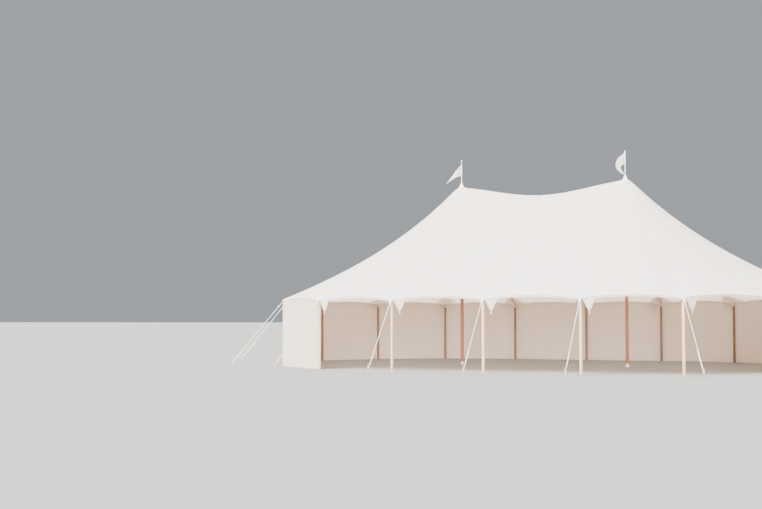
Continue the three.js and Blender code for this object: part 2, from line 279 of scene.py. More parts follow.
# Cloth whose panel seams, stitches and hems follow those distances
def seamedCloth(name, c):
    finish = Finish(name, c["roughness"])
    spot = finish.place()
    fromSeam, fromHem, runDown = (finish.attribute(name) for name in distances)
    seamWide, hemWide = c["seamHalfWidth"], c["hemWidth"]
    seamBand = fromSeam.smooth(seamWide, seamWide + 0.002, 1, 0)
    hemBand = fromHem.smooth(hemWide, hemWide + 0.002, 1, 0)
    clouds = finish.noise(spot, 0.7, 4)
    streaks = finish.noise(finish.place((1, 1, 0.35)), 2.6, 5)
    soil = (clouds * 0.6 + streaks * 0.4).smooth(0.45, 0.75) * 0.5
    soil = soil + fromHem.smooth(0, 0.3, 0.35, 0) * streaks
    base = finish.mix(soil, c["clean"], c["soiled"])
    doubled = (seamBand + hemBand) * c["seamShade"]
    finish.colour(finish.mix(doubled, base, c["seam"]))
    seamStitch = (fromSeam - seamWide * 0.7).absolute().smooth(0.0008, 0.0022, 1, 0)
    hemStitch = (fromHem - hemWide * 0.85).absolute().smooth(0.0008, 0.0022, 1, 0)
    stitchGap = (runDown * 160).fraction().smooth(0.15, 0.3)
    weave = weaveOf(finish, spot, 380)
    height = (seamBand + hemBand) * 0.0012 - (seamStitch + hemStitch) * stitchGap * 0.0009
    height = height + weave * 0.00015 + clouds * 0.0015
    finish.bump(height, 0.9)
    finish.roughness(clouds * 0.1 + (c["roughness"] - 0.05))
    finish.sheen(0.12, 0.5)
    finish.letThrough(c["throughLight"], c["throughShare"])
    return finish.material


sailSet = {
    "clean": (0.88, 0.87, 0.85),
    "soiled": (0.79, 0.775, 0.745),
    "seam": (0.75, 0.73, 0.70),
    "seamShade": 0.7, "seamHalfWidth": 0.02, "hemWidth": 0.04, "roughness": 0.75,
    "throughLight": (0.95, 0.90, 0.85), "throughShare": 0.56,
}
# Light that comes through the cloth makes its underside the warmer one; the underside's base, soiled
# and seam colours are painted warmer here as painted light for that glow
undersideSet = sailSet | {
    "clean": (0.90, 0.80, 0.71),
    "soiled": (0.83, 0.72, 0.62),
    "seam": (0.78, 0.66, 0.57),
    "throughLight": (1.0, 0.85, 0.74),
}
sailcloth = seamedCloth("sailcloth", sailSet)
sailclothUnderside = seamedCloth("sailclothUnderside", undersideSet)
# The wall cloth is cream, and its colours are also painted warmer as painted light for the warm glow
# through the canopy
wallCloth = seamedCloth("wallCloth", {
    "clean": (0.81, 0.715, 0.63),
    "soiled": (0.70, 0.60, 0.51),
    "seam": (0.72, 0.62, 0.535),
    "seamShade": 0.8, "seamHalfWidth": 0.014, "hemWidth": 0.05, "roughness": 0.8,
    "throughLight": (0.86, 0.76, 0.67), "throughShare": 0.36,
})


# Planed round timber, with its grain along the pole
def timber(name, c):
    finish = Finish(name, c["gloss"])
    streaks = finish.noise(finish.place((1, 1, 0.03)), 55, 4, 0.6)
    fibre = finish.noise(finish.place((1, 1, 0.02)), 240, 4, 0.6)
    broad = finish.noise(finish.place((1, 1, 0.2)), 1.8, 3)
    knot = finish.noise(finish.place((1, 1, 0.35)), 9, 2).smooth(0.72, 0.8)
    shade = (streaks * 0.55 + fibre * 0.25 + broad * 0.2).smooth(0.44, 0.68)
    base = finish.mix(shade, c["light"], c["dark"])
    finish.colour(finish.mix(knot * 0.6, base, c["knots"]))
    finish.roughness(fibre * 0.25 + (c["gloss"] - 0.1))
    finish.bump(fibre * 0.0005 + streaks * 0.0004, 0.8)
    return finish.material


paleTimber = timber("paleTimber", {
    "light": (0.82, 0.55, 0.35), "dark": (0.48, 0.24, 0.11), "knots": (0.24, 0.10, 0.05),
    "gloss": 0.5,
})
wallTimber = timber("wallTimber", {
    "light": (0.26, 0.145, 0.088), "dark": (0.13, 0.065, 0.036), "knots": (0.06, 0.03, 0.015),
    "gloss": 0.5,
})
kingTimber = timber("kingTimber", {
    "light": (0.33, 0.142, 0.072), "dark": (0.15, 0.055, 0.025), "knots": (0.06, 0.02, 0.01),
    "gloss": 0.42,
})
staffTimber = timber("staffTimber", {
    "light": (0.87, 0.80, 0.71), "dark": (0.73, 0.64, 0.53), "knots": (0.42, 0.32, 0.23),
    "gloss": 0.45,
})


def zincSteel(name, c):
    finish = Finish(name, 0.4, 1)
    spangle = finish.noise(finish.place(), 60, 4, 0.6)
    worn = finish.noise(finish.place(), 14, 5, 0.65).smooth(0.58, 0.72)
    finish.colour(finish.mix(worn * 0.5, c["zinc"], c["worn"]))
    finish.roughness(spangle * 0.3 + 0.28)
    finish.bump(spangle * 0.0006, 0.6)
    return finish.material


galvanised = zincSteel("galvanised", {"zinc": (0.62, 0.63, 0.63), "worn": (0.36, 0.30, 0.25)})


def fibreFinish(name, c):
    finish = Finish(name, 0.9)
    spot = finish.place()
    fuzz = finish.noise(spot, c["fuzz"], 3, 0.7)
    patches = finish.noise(spot, 3, 3)
    finish.colour(finish.mix((fuzz * 0.5 + patches * 0.5).smooth(0.35, 0.7), c["light"], c["dark"]))
    finish.bump(fuzz * 0.0005 + weaveOf(finish, spot, c["threads"]) * c["relief"], 0.8)
    finish.sheen(0.2, 0.6)
    return finish.material


whiteRope = fibreFinish("whiteRope", {
    "light": (0.85, 0.83, 0.78), "dark": (0.68, 0.64, 0.56),
    "fuzz": 420, "threads": 300, "relief": 0.0001,
})
webbing = fibreFinish("webbing", {
    "light": (0.84, 0.82, 0.78), "dark": (0.70, 0.67, 0.61),
    "fuzz": 260, "threads": 160, "relief": 0.0006,
})
capCloth = fibreFinish("capCloth", {
    "light": (0.88, 0.87, 0.85), "dark": (0.77, 0.76, 0.73),
    "fuzz": 90, "threads": 240, "relief": 0.0003,
})
print("finishes made")


# Shared mesh helpers
def meshPiece(name, points, faces, material):
    mesh = bpy.data.meshes.new(name)
    mesh.from_pydata(points, [], faces)
    mesh.materials.append(material)
    piece = bpy.data.objects.new(name, mesh)
    bpy.context.scene.collection.objects.link(piece)
    return piece


def activate(piece):
    bpy.ops.object.select_all(action="DESELECT")
    piece.select_set(True)
    bpy.context.view_layer.objects.active = piece


def applyModifier(piece, kind, **settings):
    activate(piece)
    modifier = piece.modifiers.new(kind, kind)
    for key, value in settings.items():
        setattr(modifier, key, value)
    bpy.ops.object.modifier_apply(modifier=modifier.name)


def smoothPiece(piece, degrees=35):
    activate(piece)
    bpy.ops.object.shade_smooth_by_angle(angle=math.radians(degrees))
    return piece


def finishPiece(piece, node=None):
    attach(piece, "root")
    if node:
        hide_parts(node)
    return piece


def joinAs(name, pieces):
    activate(pieces[0])
    for piece in pieces:
        piece.select_set(True)
    bpy.ops.object.join()
    joined = bpy.context.object
    joined.name = name
    joined.data.name = name
    return joined


def settle(piece, material):
    activate(piece)
    bpy.ops.object.transform_apply(location=True, rotation=True, scale=True)
    piece.data.materials.clear()
    piece.data.materials.append(material)


# A primitive, added on its own and left open for editing with all of it selected
def openShape(add, **values):
    bpy.ops.object.select_all(action="DESELECT")
    add(**values)
    bpy.ops.object.mode_set(mode="EDIT")
    bpy.ops.mesh.select_all(action="SELECT")
    return bpy.context.object


def setShape(piece, name, turn, place, material, degrees):
    bpy.ops.object.mode_set(mode="OBJECT")
    piece.name = name
    piece.rotation_mode = "QUATERNION"
    piece.rotation_quaternion = turn
    piece.location = place
    settle(piece, material)
    return smoothPiece(piece, degrees)


# A round piece shaped ring by ring from its lower end, as on a lathe: steps are (radius, height)
def turned(name, steps, sides, material, bevel=0, place=(0, 0)):
    radius, height = steps[0]
    piece = openShape(bpy.ops.mesh.primitive_circle_add, vertices=sides, radius=radius,
                      fill_type="NGON", location=(*place, height))
    for nextRadius, nextHeight in steps[1:]:
        lift = {"value": (0, 0, nextHeight - height)}
        bpy.ops.mesh.extrude_region_move(TRANSFORM_OT_translate=lift)
        share = nextRadius / radius
        bpy.ops.transform.resize(value=(share, share, 1), center_override=(*place, nextHeight))
        radius, height = nextRadius, nextHeight
    bpy.ops.mesh.select_all(action="SELECT")
    bpy.ops.mesh.normals_make_consistent(inside=False)
    bpy.ops.object.mode_set(mode="OBJECT")
    piece.name = name
    settle(piece, material)
    if bevel:
        applyModifier(piece, "BEVEL", width=bevel, segments=2, limit_method="ANGLE")
    return smoothPiece(piece)


def ring(name, radius, wire, place, axis, material, flatten=1):
    piece = openShape(bpy.ops.mesh.primitive_torus_add, major_radius=radius, minor_radius=wire,
                      major_segments=28, minor_segments=10)
    bpy.ops.transform.resize(value=(1, 1, flatten), center_override=(0, 0, 0))
    return setShape(piece, name, Vector(axis).to_track_quat("Z", "Y"), place, material, 60)


# The faces round a row of rings, with a cap at both ends or else joined end to end
def ringFaces(count, sides, closed=False):
    faces = []
    for i in range(count if closed else count - 1):
        nextRow = sides if i + 1 < count else sides * (1 - count)
        for k in range(sides):
            a = i * sides + k
            b = i * sides + (k + 1) % sides
            faces.append((a, b, b + nextRow, a + nextRow))
    if not closed:
        last = sides * (count - 1)
        faces += [tuple(reversed(range(sides))), tuple(range(last, last + sides))]
    return faces


# A flat strap along a list of points, as wide as given along its sideways direction
def strap(name, points, sideways, width, thickness, material):
    verts = []
    side = Vector(sideways).normalized()
    out = side * width / 2
    for i, p in enumerate(points):
        ahead = points[min(i + 1, len(points) - 1)] - points[max(i - 1, 0)]
        up = ahead.cross(side).normalized() * thickness / 2
        verts += [p - out - up, p + out - up, p + out + up, p - out + up]
    return smoothPiece(meshPiece(name, verts, ringFaces(len(points), 4), material), 40)


# A tube along a list of points; lobes and twist turn it into laid rope, and a splice swells its start
def tube(name, points, radius, sides, material, lobes=0, twist=0, closed=False, splice=0):
    verts = []
    count = len(points)
    run = 0
    side = None
    for i, p in enumerate(points):
        after = points[(i + 1) % count] if closed else points[min(i + 1, count - 1)]
        before = points[i - 1] if closed else points[max(i - 1, 0)]
        ahead = (after - before).normalized()
        side = side or ahead.cross(Vector((0, 0, 1)))
        side = (side - ahead * side.dot(ahead)).normalized()
        up = ahead.cross(side)
        run += (p - points[i - 1]).length if i else 0
        turn = 2 * math.pi * run * twist
        wide = radius * (1 + splice * (1 - ease(0.05, 0.22, run)))
        for k in range(sides):
            angle = 2 * math.pi * k / sides
            r = wide * (0.87 + 0.13 * math.cos(lobes * angle))
            verts.append(p + (side * math.cos(angle + turn) + up * math.sin(angle + turn)) * r)
    return smoothPiece(meshPiece(name, verts, ringFaces(count, sides, closed), material), 60)


# One copy of a template in each corner's own frame, whose +X points out of the tent
def atCorners(name, template):
    copies = []
    for k in allStations:
        corner = planPoint(k, tent["endRadius"])
        outward = corner - planPoint(k, 1)
        turn = Matrix.Rotation(math.atan2(outward.y, outward.x), 4, "Z")
        piece = template.copy()
        piece.data = template.data.copy()
        piece.name = f"{name}{k + 1:02d}"
        piece.data.name = piece.name
        piece.data.transform(Matrix.Translation((corner.x, corner.y, 0)) @ turn)
        bpy.context.scene.collection.objects.link(piece)
        copies.append(piece)
    bpy.data.objects.remove(template)
    return copies


# Canopy: three stretched sheets that share one height formula
canopySet = {
    "columns": 24, "cornerColumns": 8, "ringColumns": 10, "rows": 64, "rowCrowding": 0.4,
    "thickness": 0.0025, "clear": 0.0006, "slant": 8.15,
    "panelsPerBay": 2, "goreBulge": 0.007,
    "pleatsPerBay": 3, "pleatLift": 0.003, "pleatFade": (0.3, 1.6),
    "creases": 12, "creaseLift": 0.005, "creaseFade": (0.2, 1.5),
}


# Columns stand closer at the corners, and one runs through each corner of a tab
def columnStations(fromStation, toStation):
    columns = canopySet["columns"]
    steps = {i / columns for i in range(columns)}
    for i in range(canopySet["cornerColumns"]):
        steps |= {i / columns / 4, 1 - (i + 1) / columns / 4}
    tip = tent["tabTipShare"]
    steps |= {(tent["tabOffset"] + side * tent["tabHalfWidth"]) / bay for side in (-1, -tip, tip, 1)}
    found = [b + q for b in range(fromStation, toStation) for q in sorted(steps)]
    return found + [toStation]


# Where a column of cloth starts: on the ring round a king pole or on the ridge between them
def spinePoint(station, index, count):
    r = tent["ringRadius"]
    if count == 0:
        return planPoint(station, r)
    arc = canopySet["ringColumns"]
    side = -1 if station <= tent["straightBays"] else 1
    fromLeft = index if side < 0 else count - index
    nearest = min(fromLeft, count - fromLeft)
    leftward = -1 if fromLeft <= count / 2 else 1
    if nearest < arc:
        angle = nearest / arc * math.pi / 2
        return Vector((leftward * (half - r * math.sin(angle)), side * r * math.cos(angle)))
    reach = half - r
    return Vector((-reach + 2 * reach * (fromLeft - arc) / (count - 2 * arc), 0))


# How far the real cloth stands proud of the plain form: panels, pleats at the peak, creases at corners
def clothLift(x, y):
    c = canopySet
    station = stationAt(x, y)
    reach = math.hypot(max(abs(x) - half, 0), y)
    share = reach / edgeRadius(station)
    gore = (1 - math.cos(2 * math.pi * c["panelsPerBay"] * station)) / 2
    lift = c["goreBulge"] * gore * ease(0.04, 0.3, share) * (1 - ease(0.9, 1, share))
    fromPeak = math.hypot(abs(x) - half, y)
    pleat = (1 + math.cos(2 * math.pi * c["pleatsPerBay"] * station)) / 2
    lift += c["pleatLift"] * pleat * (1 - ease(*c["pleatFade"], fromPeak)) * ease(0.08, 0.3, fromPeak)
    corner = planPoint(round(station), tent["endRadius"])
    dx, dy = x - corner.x, y - corner.y
    fromCorner = math.hypot(dx, dy)
    crease = (1 + math.cos(c["creases"] * math.atan2(dy, dx))) / 2
    fade = (1 - ease(*c["creaseFade"], fromCorner)) * ease(0.1, 0.4, fromCorner)
    return lift + c["creaseLift"] * crease * fade


def clothBottom(x, y):
    return undersideHeight(x, y) + canopySet["clear"] + clothLift(x, y)


def clothTop(x, y):
    return clothBottom(x, y) + canopySet["thickness"] * 1.1


def sheetColumn(station, spine):
    edge = planPoint(station, edgeRadius(station) - tent["solidCloth"] + canopySet["clear"])
    points = []
    for share in shares(canopySet["rows"]):
        crowd = canopySet["rowCrowding"] * math.sin(2 * math.pi * share) / (2 * math.pi)
        p = spine.lerp(edge, share - crowd)
        points.append(Vector((p.x, p.y, clothBottom(p.x, p.y))))
    eave = points[-1].z
    hem = edgeHeight(station) - tent["hemDepth"] - tabDrop(station)
    for share in (0.06, 0.2, 0.4, 0.6, 0.8, 1):
        points.append(Vector((edge.x, edge.y, eave + (hem - eave) * share)))
    return points


def panelWidth(p):
    if abs(p.x) <= half:
        return bay
    return math.hypot(abs(p.x) - half, p.y) * math.pi / tent["endBays"]


# A column's points, each with its three distances
def measured(station, column, hemAbove=False):
    panels = canopySet["panelsPerBay"]
    away = abs(station * panels - round(station * panels)) / panels
    run = [0]
    for a, b in zip(column, column[1:]):
        run.append(run[-1] + (b - a).length)
    hems = [min(r, run[-1] - r) if hemAbove else run[-1] - r for r in run]
    return [(p, away * panelWidth(p), hem, r) for p, hem, r in zip(column, hems, run)]


# Cloth meshed from grids of such columns
def clothPiece(name, grids, material):
    points, faces = [], []
    for columns in grids:
        size = len(columns[0])
        for i in range(len(columns) - 1):
            for j in range(size - 1):
                a = len(points) + i * size + j
                faces.append((a, a + 1, a + size + 1, a + size))
        points += [point for column in columns for point in column]
    piece = meshPiece(name, [point[0] for point in points], faces, material)
    for k, distance in enumerate(distances, 1):
        layer = piece.data.attributes.new(distance, "FLOAT", "POINT")
        layer.data.foreach_set("value", [point[k] for point in points])
    return piece


def thicken(piece, thickness, offset, degrees=50, underside=0):
    applyModifier(piece, "SOLIDIFY", thickness=thickness, offset=offset, material_offset=underside)
    return smoothPiece(piece, degrees)


def turnUp(piece):
    shape = bmesh.new()
    shape.from_mesh(piece.data)
    bmesh.ops.remove_doubles(shape, verts=shape.verts, dist=0.0002)
    bmesh.ops.recalc_face_normals(shape, faces=shape.faces)
    shape.to_mesh(piece.data)
    shape.free()
    if sum(face.normal.z * face.area for face in piece.data.polygons) < 0:
        piece.data.flip_normals()


def canopySection(name, node, ranges, isMiddle=False):
    grids = []
    for stretch in ranges:
        stations = columnStations(*stretch)
        count = len(stations) - 1 if isMiddle else 0
        spine = [spinePoint(s, i, count) for i, s in enumerate(stations)]
        grids.append([measured(s, sheetColumn(s, p)) for s, p in zip(stations, spine)])
    piece = clothPiece(name, grids, sailcloth)
    turnUp(piece)
    piece.data.materials.append(sailclothUnderside)
    thicken(piece, canopySet["thickness"], 1, underside=1)
    return finishPiece(piece, node)


front = (0, tent["straightBays"])
back = (backStart, leftStart)
canopyMiddle = canopySection("canopyMiddle", "canopy_middle", [front, back], True)
canopyRight = canopySection("canopyRightEnd", "canopy_right_end", [(front[1], backStart)])
canopyLeft = canopySection("canopyLeftEnd", "canopy_left_end", [(leftStart, stationCount)])
canopyTrees = [BVHTree.FromPolygons([v.co for v in piece.data.vertices],
                                    [f.vertices for f in piece.data.polygons])
               for piece in (canopyMiddle, canopyRight, canopyLeft)]


# A point laid on the cloth as meshed, found by looking straight down on it
def laidOn(x, y, lift):
    hits = [tree.ray_cast(Vector((x, y, 9)), Vector((0, 0, -1)))[0] for tree in canopyTrees]
    return Vector((x, y, max((hit.z for hit in hits if hit), default=clothTop(x, y)) + lift))


print("canopy made")

# Cloth sewn or laced on top of the canopy
trimThickness = 0.0016


def sewnOn(name, grids):
    piece = clothPiece(name, grids, sailcloth)
    turnUp(piece)
    thicken(piece, trimThickness, 1)
    return finishPiece(piece)


flapSet = {
    "rows": 70, "columns": 6, "halfWidth": 0.085, "lift": 0.0022,
    "fromRing": 0.05, "fromEdge": 0.03,
}


# The flap that covers the lacing between two sections, from the front eave over the peak to the back
def lacingFlap(name, x, c):
    wide = c["halfWidth"]
    start = tent["ringRadius"] + c["fromRing"]
    stop = tent["endRadius"] - c["fromEdge"]
    grids = [[], []]
    for side, columns in zip((-1, 1), grids):
        for along in shares(c["rows"]):
            y = side * (start + (stop - start) * along)
            column = []
            for share in shares(c["columns"]):
                dx = wide * (2 * share - 1)
                column.append((laidOn(x + dx, y, c["lift"]), 1, wide - abs(dx), abs(y)))
            columns.append(column)
    return sewnOn(name, grids)


patchSet = {
    "columns": 16, "rows": 12, "halfWidth": 0.45, "lift": 0.0012, "inset": 0.004,
    "reach": 0.6, "margin": 0.02, "spread": 0.15, "point": 1.6,
}


# Rounded reinforcements that reach inward from every pole corner
def cornerPatches(c):
    wide = c["halfWidth"]
    grids = []
    for k in allStations:
        columns = []
        for across in shares(c["columns"]):
            u = 2 * across - 1
            s = (k + c["spread"] * u) % stationCount
            deep = c["reach"] * (1 - abs(u) ** c["point"]) + c["margin"]
            inner = edgeRadius(s) - tent["solidCloth"] - c["inset"] - deep
            column = []
            for share in shares(c["rows"]):
                run = deep * share
                p = planPoint(s, inner + run)
                place = laidOn(p.x, p.y, c["lift"])
                column.append((place, 1, min(run, (1 - abs(u)) * wide), u * wide + run))
            columns.append(column)
        grids.append(columns)
    return sewnOn("cornerPatches", grids)


collarSet = {
    "columns": 168, "rows": 14, "lift": 0.0012, "inset": 0.004,
    "reach": 0.62, "scallop": 0.12, "scallops": 14, "run": 0.55,
}


# A scalloped collar of doubled cloth round one king pole's ring
def peakPatch(name, x, c):
    inner = tent["ringRadius"] + c["inset"]
    columns = []
    for around in shares(c["columns"]):
        angle = 2 * math.pi * around
        outer = c["reach"] - c["scallop"] * abs(math.sin(c["scallops"] / 2 * angle))
        column = []
        for share in shares(c["rows"]):
            r = inner + (outer - inner) * share
            place = laidOn(x + r * math.cos(angle), r * math.sin(angle), c["lift"])
            column.append((place, 1, outer - r, angle * c["run"]))
        columns.append(column)
    return sewnOn(name, [columns])


cordSet = {"stepsPerBay": 24, "radius": 0.007, "lift": 0.004}


# The cord sewn into the eave, where the roof turns down into its hem
def eaveCord(c):
    path = []
    for i in range(stationCount * c["stepsPerBay"]):
        s = i / c["stepsPerBay"]
        inside = edgeRadius(s) - tent["solidCloth"]
        inner = planPoint(s, inside)
        p = planPoint(s, inside + canopySet["thickness"] + c["lift"])
        path.append(Vector((p.x, p.y, clothBottom(inner.x, inner.y) - c["lift"])))
    return tube("eaveCord", path, c["radius"], 8, whiteRope, closed=True)


sewn = [cornerPatches(patchSet), finishPiece(eaveCord(cordSet))]
for side, x, canopy in (("right", half, canopyRight), ("left", -half, canopyLeft)):
    sewn = [lacingFlap(f"lacingFlap{side.title()}", x, flapSet),
            peakPatch(f"peakPatch{side.title()}", x, collarSet)]
print("canopy trimmed")

# Walls hung inside the hem, softly rippled, down to the ground
wallSet = {
    "columns": 40, "rows": 18, "thickness": 0.0018, "foot": 0.003, "topUnderEdge": 0.04,
    "outerInset": 0.0165, "ripple": 0.008, "broadFolds": 5, "fineFolds": 12,
}


def wallColumn(station):
    c = wallSet
    q = station - math.floor(station)
    seed = math.floor(station)
    top = edgeHeight(station) - c["topUnderEdge"]
    points = []
    for down in shares(c["rows"]):
        hold = ease(0.02, 0.25, down) * min(1, 8 * q * (1 - q))
        bent = c["broadFolds"] * q + 0.3 * math.sin(seed + 2 * down)
        wander = math.sin(2 * math.pi * bent + 7 * seed)
        wander += 0.5 * math.sin(2 * math.pi * c["fineFolds"] * q - 2 * down + 5 * seed)
        ripple = c["ripple"] * hold * (1 + wander / 1.5)
        p = planPoint(station, edgeRadius(station) - c["outerInset"] - ripple)
        points.append(Vector((p.x, p.y, top + (c["foot"] - top) * down)))
    return points


def wallSection(name, node, fromStation, toStation):
    bays = toStation - fromStation
    perBay = wallSet["columns"]
    stations = [fromStation + i / perBay for i in range(bays * perBay + 1)]
    piece = clothPiece(name, [[measured(s, wallColumn(s), True) for s in stations]], wallCloth)
    face = piece.data.polygons[0]
    if face.normal.dot(Vector((face.center.x, face.center.y, 0))) < 0:
        piece.data.flip_normals()
    thicken(piece, wallSet["thickness"], -1)
    finishPiece(piece, node)


wallSection("wallRightEnd", "wall_right_end", tent["wallStart"], backStart)
wallSection("wallBack", "wall_back", backStart, leftStart)
wallSection("wallLeftEnd", "wall_left_end", leftStart, tent["wallEnd"])
print("walls hung")

# Side poles: round timber with a steel ferrule and a pin through the canopy's eyelet
poleSet = {
    "radius": 0.045, "inset": 0.078, "chamfer": 0.012,
    "ferruleHeight": 0.13, "ferruleRadius": 0.0462,
    "pinRadius": 0.008, "pinAbove": 0.085, "eyeletRadius": 0.024, "eyeletWire": 0.006,
}


# The cloth over a corner, in the corner's own frame: x is the distance out from the eave's edge
def clothTopAt(x):
    p = planPoint(0, tent["endRadius"] + x)
    return clothTop(p.x, p.y)


def sidePole(c, top):
    r = c["radius"]
    steps = [
        (r - 0.005, 0), (r, c["chamfer"]), (r * 1.002, 0.7), (r * 0.995, 1.5),
        (r * 0.97, top - c["ferruleHeight"]), (r * 0.95, top - 0.02), (r * 0.9, top),
    ]
    return turned("sidePole", steps, 24, paleTimber, place=(-c["inset"], 0))


def poleTopSteel(c, top):
    x = -c["inset"]
    wide = c["ferruleRadius"]
    sleeveSteps = [(wide, top - c["ferruleHeight"]), (wide, top - 0.016), (wide - 0.004, top - 0.011)]
    sleeve = turned("sleeve", sleeveSteps, 24, galvanised, 0.001, (x, 0))
    slope = (clothTopAt(x + 0.01) - clothTopAt(x - 0.01)) / 0.02
    cloth = clothTopAt(x)
    tip = cloth + c["pinAbove"]
    r = c["pinRadius"]
    pinSteps = [(r, top - 0.02), (r, tip - 0.02), (r * 0.4, tip)]
    pin = turned("pin", pinSteps, 12, galvanised, 0.0008, (x, 0))
    washer = ring("washer", c["eyeletRadius"], c["eyeletWire"], (x, 0, cloth + 0.004), (-slope, 0, 1),
                  galvanised, 0.45)
    return joinAs("poleTop", [sleeve, pin, washer])


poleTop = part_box("side_pole_01")[1].z
for piece in atCorners("sidePole", sidePole(poleSet, poleTop)):
    number = piece.name[-2:]
    # The poles that stand against the wall get a darker timber
    if tent["wallStart"] < int(number) - 1 < tent["wallEnd"]:
        piece.data.materials[0] = wallTimber
    finishPiece(piece, f"side_pole_{number}")
finishPiece(joinAs("poleTops", atCorners("poleTop", poleTopSteel(poleSet, poleTop))))
print("side poles turned")

# Guy ropes: webbing at the corner, a D ring, laid rope with a wooden runner, and a steel stake
guySet = {
    "hemPointHeight": 2.265, "hemPointOut": 0.007, "stakeOut": 1.75, "gripHeight": 0.1872,
    "ringDown": 0.13, "ringRadius": 0.027, "ringWire": 0.0042,
    "ropeRadius": 0.009, "twistPerMetre": 10, "splice": 0.28, "stepsPerMetre": 80,
    "eyeRadius": 0.018, "knotRadius": 0.013, "hitchRadius": 0.027, "tailSpread": 0.02,
    "runnerDown": 1.95, "runnerSpread": 0.044, "runnerSize": (0.115, 0.034, 0.022),
    "strapReach": (-0.18, -0.155, -0.13, -0.105, -0.078, -0.06, -0.045, -0.03, -0.018),
    "strapLift": 0.0032, "strapFold": 0.0064, "strapWidth": 0.042, "strapThickness": 0.0028,
    "stakeSteps": [
        (0.0205, 0), (0.0212, 0.03), (0.0212, 0.252), (0.031, 0.258), (0.0335, 0.268),
        (0.0325, 0.279), (0.026, 0.285), (0.012, 0.2862),
    ],
}
# The line of the rope, in the corner's own frame
guyTop = Vector((guySet["hemPointOut"], 0, guySet["hemPointHeight"]))
guyGrip = Vector((guySet["stakeOut"], 0, guySet["gripHeight"]))
guyLength = (guyGrip - guyTop).length
guyWay = (guyGrip - guyTop).normalized()
guyUp = Vector((0, 1, 0)).cross(guyWay)


def guyPoint(down, off=0):
    return guyTop + guyWay * down + guyUp * off


# Webbing laid over the cloth, round the bar of the D ring and back under itself
def cornerStrap(c):
    reach = c["strapReach"]
    brow = clothTopAt(-0.016)
    over = [Vector((x, 0, clothTopAt(x) + c["strapLift"])) for x in reach]
    over += [Vector((-0.006, 0, brow - 0.001)), Vector((0.003, 0, brow - 0.009))]
    bar = c["ringDown"] - 0.005
    fold = c["strapFold"]
    down = [guyPoint(bar * share, fold) for share in (0.42, 0.6, 0.8, 1)]
    angles = [math.pi * step / 8 for step in range(1, 8)]
    turn = [guyPoint(bar + fold * math.sin(a), fold * math.cos(a)) for a in angles]
    way = ((1, -1), (0.85, -0.6), (0.7, 0.1), (0.5, 0.35))
    back = [guyPoint(bar * share, fold * off) for share, off in way]
    path = over + down + turn + back
    return strap("cornerStrap", path, (0, 1, 0), c["strapWidth"], c["strapThickness"], webbing)


def dRing(c):
    middle = guyPoint(c["ringDown"] + 0.012)
    piece = ring("dRing", c["ringRadius"], c["ringWire"], middle, guyUp, galvanised)
    bar = guyPoint(c["ringDown"] - 0.004)
    for v in piece.data.vertices:
        above = (v.co - bar).dot(guyWay)
        if above < 0:
            v.co -= guyWay * above * 0.75
    return piece


# Laid rope between two points on the guy's line, which it may leave at both ends
def laidRope(c, start, stop, fromOff=0, toOff=0, thin=1, splice=0):
    points = []
    for share in shares(int((guyLength - start) * c["stepsPerMetre"])):
        points.append(guyPoint(start + (stop - start) * share, fromOff + (toOff - fromOff) * share))
    r = c["ropeRadius"] * thin
    return tube("rope", points, r, 12, whiteRope, 3, c["twistPerMetre"], splice=splice)


def guyRope(c):
    eyeDown = c["ringDown"] + c["ringRadius"] + 0.02
    rope = laidRope(c, eyeDown + 0.012, guyLength, splice=c["splice"])
    eye = ring("eye", c["eyeRadius"], c["ropeRadius"] * 0.85, guyPoint(eyeDown), (0, 1, 0), whiteRope)
    spread = c["runnerSpread"]
    tail = laidRope(c, c["runnerDown"], guyLength - 0.01, spread, c["tailSpread"], 0.9)
    knotPlace = guyPoint(c["runnerDown"] - c["runnerSize"][2] / 2 - 0.008, spread)
    hitches = [ring("knot", c["knotRadius"], 0.009, knotPlace, guyWay, whiteRope)]
    for rise, tip in ((-0.006, 0.12), (0.012, -0.1)):
        place = (c["stakeOut"], 0, c["gripHeight"] + rise)
        hitches.append(ring("hitch", c["hitchRadius"], 0.0085, place, (tip, 0, 1), whiteRope))
    return joinAs("guyRope", [rope, eye, tail, *hitches])


def ropeRunner(c):
    piece = openShape(bpy.ops.mesh.primitive_cube_add, size=1)
    bpy.ops.transform.resize(value=c["runnerSize"], center_override=(0, 0, 0))
    bpy.ops.mesh.bevel(offset=0.008, segments=4, affect="EDGES", clamp_overlap=True)
    place = guyPoint(c["runnerDown"], c["runnerSpread"] / 2)
    return setShape(piece, "runner", guyUp.to_track_quat("X", "Y"), place, paleTimber, 50)


def groundStake(c):
    return turned("stake", c["stakeSteps"], 20, galvanised, 0.0012, (c["stakeOut"], 0))


for piece in atCorners("guyRope", guyRope(guySet)):
    finishPiece(piece, f"guy_rope_{piece.name[-2:]}")
for name, make, slotName in (
    ("groundStakes", groundStake, None), ("ropeRunners", ropeRunner, "pale_timber"),
    ("cornerStraps", cornerStrap, "white_rope"), ("dRings", dRing, None),
):
    finishPiece(joinAs(name, atCorners(name, make(guySet))))
print("guy ropes rigged")

# A thin tie that hangs from the foot of every tab
tieSet = {"length": 0.19, "width": 0.018, "thickness": 0.0025, "sway": 0.012, "steps": 14}


def tabTie(k, c):
    station = k + tent["tabOffset"] / bay
    out = edgeRadius(station) - tent["solidCloth"] + 0.004
    foot = planPoint(station, out)
    outward = (foot - planPoint(station, out - 1)).normalized().to_3d()
    side = Vector((-outward.y, outward.x, 0))
    top = edgeHeight(station) - tent["hemDepth"] - tent["tabDepth"] + 0.035
    chance = random.Random(40 + k)
    phase = chance.uniform(0, 2 * math.pi)
    points = []
    for share in shares(c["steps"]):
        sway = c["sway"] * share * math.sin(5 * share + phase)
        curl = c["sway"] * share * math.cos(4 * share + phase)
        middle = Vector((foot.x, foot.y, top - c["length"] * share))
        points.append(middle + side * sway + outward * abs(curl))
    return strap(f"tie{k + 1:02d}", points, side, c["width"], c["thickness"], webbing)


